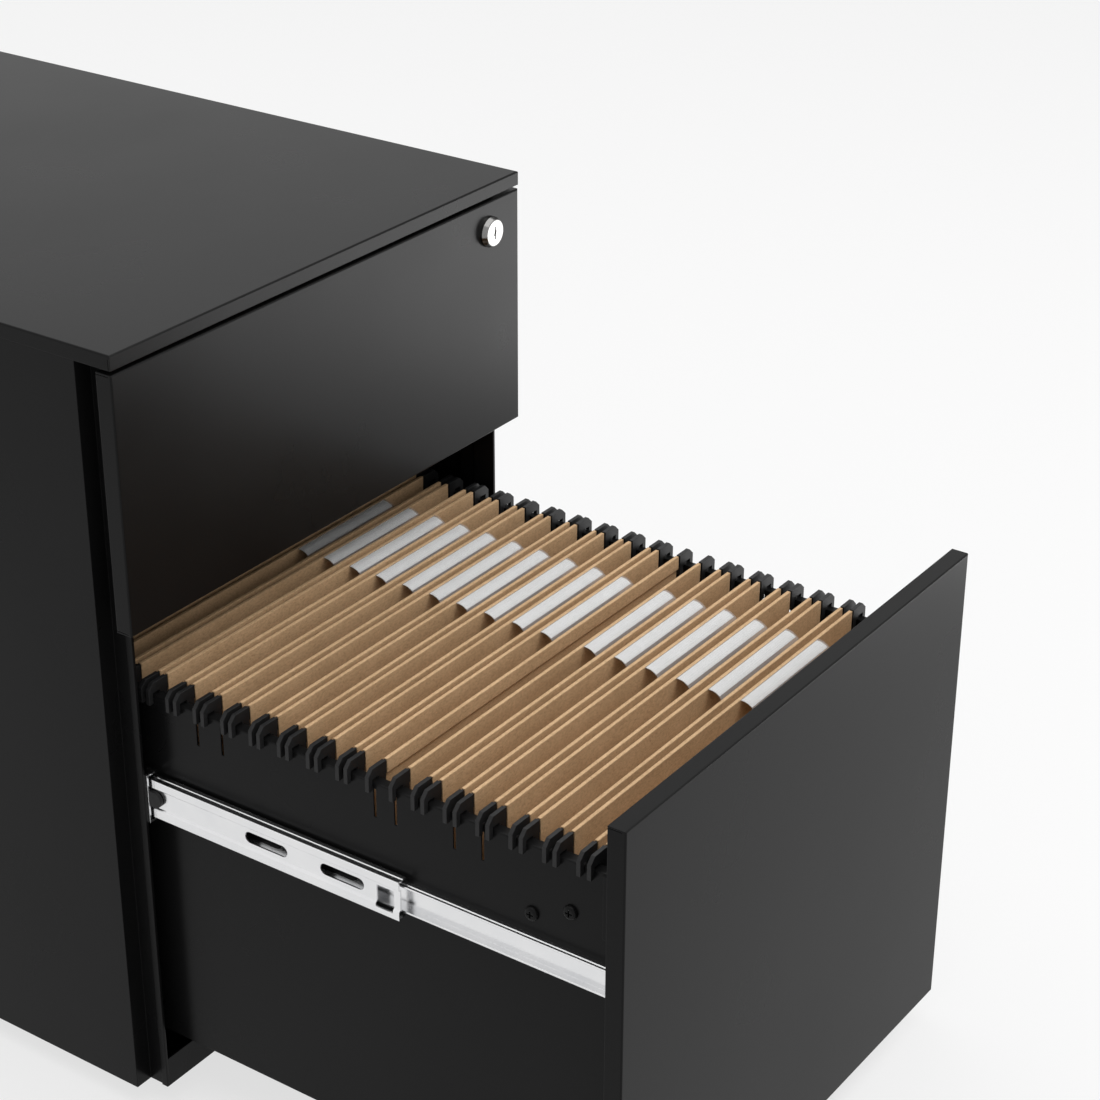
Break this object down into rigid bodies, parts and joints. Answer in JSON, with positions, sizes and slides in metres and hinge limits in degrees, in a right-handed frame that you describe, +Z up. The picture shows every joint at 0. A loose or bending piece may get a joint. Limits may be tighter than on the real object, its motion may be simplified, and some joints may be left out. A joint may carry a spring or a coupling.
{
  "type": "filing pedestal",
  "caption": "Black steel under-desk pedestal: a lockable box drawer over a file drawer hung with kraft folders, both on ball slides.",
  "frame": {"origin": "on the floor, under the middle of the whole part as stored, with the file drawer open", "axes": "+Z up, front towards -Y, +X to the right as seen from the front"},
  "size_m": [0.4, 0.858, 0.5561],
  "materials": {
    "black_steel": "satin powder coat",
    "zinc_steel": "bright zinc",
    "nickel": "polished nickel",
    "black_plastic": "matte moulded",
    "kraft": "smooth kraft board",
    "clear_plastic": "clear gloss",
    "white_paper": "plain uncoated",
    "hanger_steel": "dark coated"
  },
  "bodies": {
    "case": {"side_panel_left": "black_steel", "side_panel_right": "black_steel", "top_panel": "black_steel", "back_panel": "black_steel", "base_plate": "black_steel", "top_rail": "black_steel", "base_rail": "black_steel", "rear_upright_left": "black_steel", "rear_upright_right": "black_steel", "glide_feet": "black_plastic", "back_screws": "black_steel", "box_slide_outer_left": "zinc_steel", "box_slide_outer_right": "zinc_steel", "file_slide_outer_left": "zinc_steel", "file_slide_outer_right": "zinc_steel", "slide_bumpers": "black_plastic", "lock_bar_guides": "black_plastic"},
    "box_drawer": {"box_front": "black_steel", "box_liner": "black_steel", "box_side_left": "black_steel", "box_side_right": "black_steel", "box_bottom": "black_steel", "box_back": "black_steel", "box_strike": "black_steel", "box_slide_inner_left": "zinc_steel", "box_slide_inner_right": "zinc_steel", "lock_housing": "nickel", "lock_nut": "nickel"},
    "file_drawer": {"file_front": "black_steel", "file_liner": "black_steel", "file_side_left": "black_steel", "file_side_right": "black_steel", "file_bottom": "black_steel", "file_back": "black_steel", "file_gussets": "black_steel", "file_side_screws": "black_steel", "file_strike": "black_steel", "file_slide_inner_left": "zinc_steel", "file_slide_inner_right": "zinc_steel", "folders_front": "kraft", "folder_open": "kraft", "folders_middle": "kraft", "folders_back": "kraft", "hanger_bars": "hanger_steel", "hanger_hooks": "black_plastic", "tab_holders": "clear_plastic", "tab_labels": "white_paper"},
    "box_slide_mid": {"box_slide_middle_left": "zinc_steel", "box_slide_middle_right": "zinc_steel"},
    "file_slide_mid": {"file_slide_middle_left": "zinc_steel", "file_slide_middle_right": "zinc_steel"},
    "box_cages_outer": {"box_outer_cages": "zinc_steel"},
    "box_cages_inner": {"box_inner_cages": "zinc_steel"},
    "file_cages_outer": {"file_outer_cages": "zinc_steel"},
    "file_cages_inner": {"file_inner_cages": "zinc_steel"},
    "lock": {"lock_plug": "nickel", "lock_cam": "black_steel"},
    "locking_bar": {"lock_bar": "black_steel"}
  },
  "joints": [
    {"name": "box_drawer_slide", "type": "slide", "parent": "case", "child": "box_drawer", "axis": [0, -1, 0], "range_m": [0, 0.4]},
    {"name": "file_drawer_slide", "type": "slide", "parent": "case", "child": "file_drawer", "axis": [0, -1, 0], "range_m": [-0.358, 0.042]},
    {"name": "box_middle_slide", "type": "slide", "parent": "case", "child": "box_slide_mid", "axis": [0, -1, 0], "range_m": [0, 0.2216]},
    {"name": "box_outer_cage_slide", "type": "slide", "parent": "case", "child": "box_cages_outer", "axis": [0, -1, 0], "range_m": [0, 0.1108]},
    {"name": "box_inner_cage_slide", "type": "slide", "parent": "case", "child": "box_cages_inner", "axis": [0, -1, 0], "range_m": [0, 0.3108]},
    {"name": "file_middle_slide", "type": "slide", "parent": "case", "child": "file_slide_mid", "axis": [0, -1, 0], "range_m": [-0.1984, 0.0233]},
    {"name": "file_outer_cage_slide", "type": "slide", "parent": "case", "child": "file_cages_outer", "axis": [0, -1, 0], "range_m": [-0.0992, 0.0117]},
    {"name": "file_inner_cage_slide", "type": "slide", "parent": "case", "child": "file_cages_inner", "axis": [0, -1, 0], "range_m": [-0.2782, 0.0327]},
    {"name": "lock_turn", "type": "hinge", "parent": "box_drawer", "child": "lock", "pos_m": [0.1664, -0.071, 0.5224], "axis": [0, -1, 0], "range_deg": [0, 90]},
    {"name": "lock_bar_slide", "type": "slide", "parent": "case", "child": "locking_bar", "axis": [0, 0, 1], "range_m": [0, 0.012]}
  ],
  "couplings": [
    {"joint": "box_middle_slide", "follows": "box_drawer_slide", "ratio": 0.554},
    {"joint": "box_outer_cage_slide", "follows": "box_drawer_slide", "ratio": 0.277},
    {"joint": "box_inner_cage_slide", "follows": "box_drawer_slide", "ratio": 0.777},
    {"joint": "file_middle_slide", "follows": "file_drawer_slide", "ratio": 0.554},
    {"joint": "file_outer_cage_slide", "follows": "file_drawer_slide", "ratio": 0.277},
    {"joint": "file_inner_cage_slide", "follows": "file_drawer_slide", "ratio": 0.777},
    {"joint": "lock_turn", "follows": "lock_bar_slide", "rad_per_m": 130.9}
  ]
}
